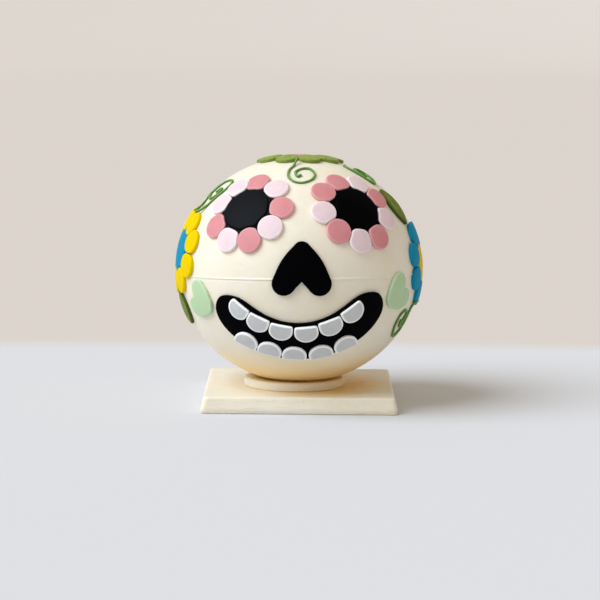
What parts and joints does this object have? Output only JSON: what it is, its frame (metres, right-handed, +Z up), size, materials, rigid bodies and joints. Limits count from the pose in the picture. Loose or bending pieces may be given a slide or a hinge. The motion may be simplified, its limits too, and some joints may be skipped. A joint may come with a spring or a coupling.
{
  "type": "smashable chocolate ball",
  "caption": "White-chocolate gift ball to smash, dressed as a sugar skull with coloured sugar-paste flowers, heart nose, toothy grin and piped curls, on a moulded chocolate base plate.",
  "frame": {"origin": "middle of the base plate's underside, on the surface the piece stands on", "axes": "+Z up, the face looks along -Y, +X is to the right as the face is looked at"},
  "size_m": [0.1544, 0.152, 0.1548],
  "materials": {
    "white_chocolate": "satin moulded white chocolate",
    "black_paste": "satin sugar paste",
    "pink_paste": "satin sugar paste",
    "pale_pink_paste": "satin sugar paste",
    "white_paste": "satin sugar paste",
    "mint_paste": "satin sugar paste",
    "yellow_paste": "satin sugar paste",
    "blue_paste": "satin sugar paste",
    "green_paste": "marbled sugar paste",
    "green_icing": "piped icing, satin"
  },
  "bodies": {
    "root": {"base_plate": "white_chocolate", "foot_disc": "white_chocolate", "shell_upper": "white_chocolate", "shell_lower": "white_chocolate", "eye_left_centre": "black_paste", "eye_left_petal_1": "pink_paste", "eye_left_petal_2": "pale_pink_paste", "eye_left_petal_3": "pink_paste", "eye_left_petal_4": "pale_pink_paste", "eye_left_petal_5": "pink_paste", "eye_left_petal_6": "pale_pink_paste", "eye_left_petal_7": "pink_paste", "eye_left_petal_8": "pale_pink_paste", "eye_left_petal_9": "pale_pink_paste", "eye_right_centre": "black_paste", "eye_right_petal_1": "pink_paste", "eye_right_petal_2": "pink_paste", "eye_right_petal_3": "pale_pink_paste", "eye_right_petal_4": "pink_paste", "eye_right_petal_5": "pale_pink_paste", "eye_right_petal_6": "pink_paste", "eye_right_petal_7": "pale_pink_paste", "eye_right_petal_8": "pink_paste", "eye_right_petal_9": "pale_pink_paste", "nose": "black_paste", "cheek_heart_left": "mint_paste", "cheek_heart_right": "mint_paste", "mouth": "black_paste", "tooth_upper_1": "white_paste", "tooth_upper_2": "white_paste", "tooth_upper_3": "white_paste", "tooth_upper_4": "white_paste", "tooth_upper_5": "white_paste", "tooth_upper_6": "white_paste", "tooth_lower_1": "white_paste", "tooth_lower_2": "white_paste", "tooth_lower_3": "white_paste", "tooth_lower_4": "white_paste", "tooth_lower_5": "white_paste", "side_flower_left_centre": "blue_paste", "side_flower_left_petals": "yellow_paste", "side_flower_right_centre": "yellow_paste", "side_flower_right_petals": "blue_paste", "top_flower_centre": "pink_paste", "top_flower_petals": "green_paste", "leaf_left": "green_paste", "leaf_right": "green_paste", "curl_forehead": "green_icing", "curl_left": "green_icing", "curl_right_upper": "green_icing", "curl_right_lower": "green_icing"}
  },
  "joints": []
}
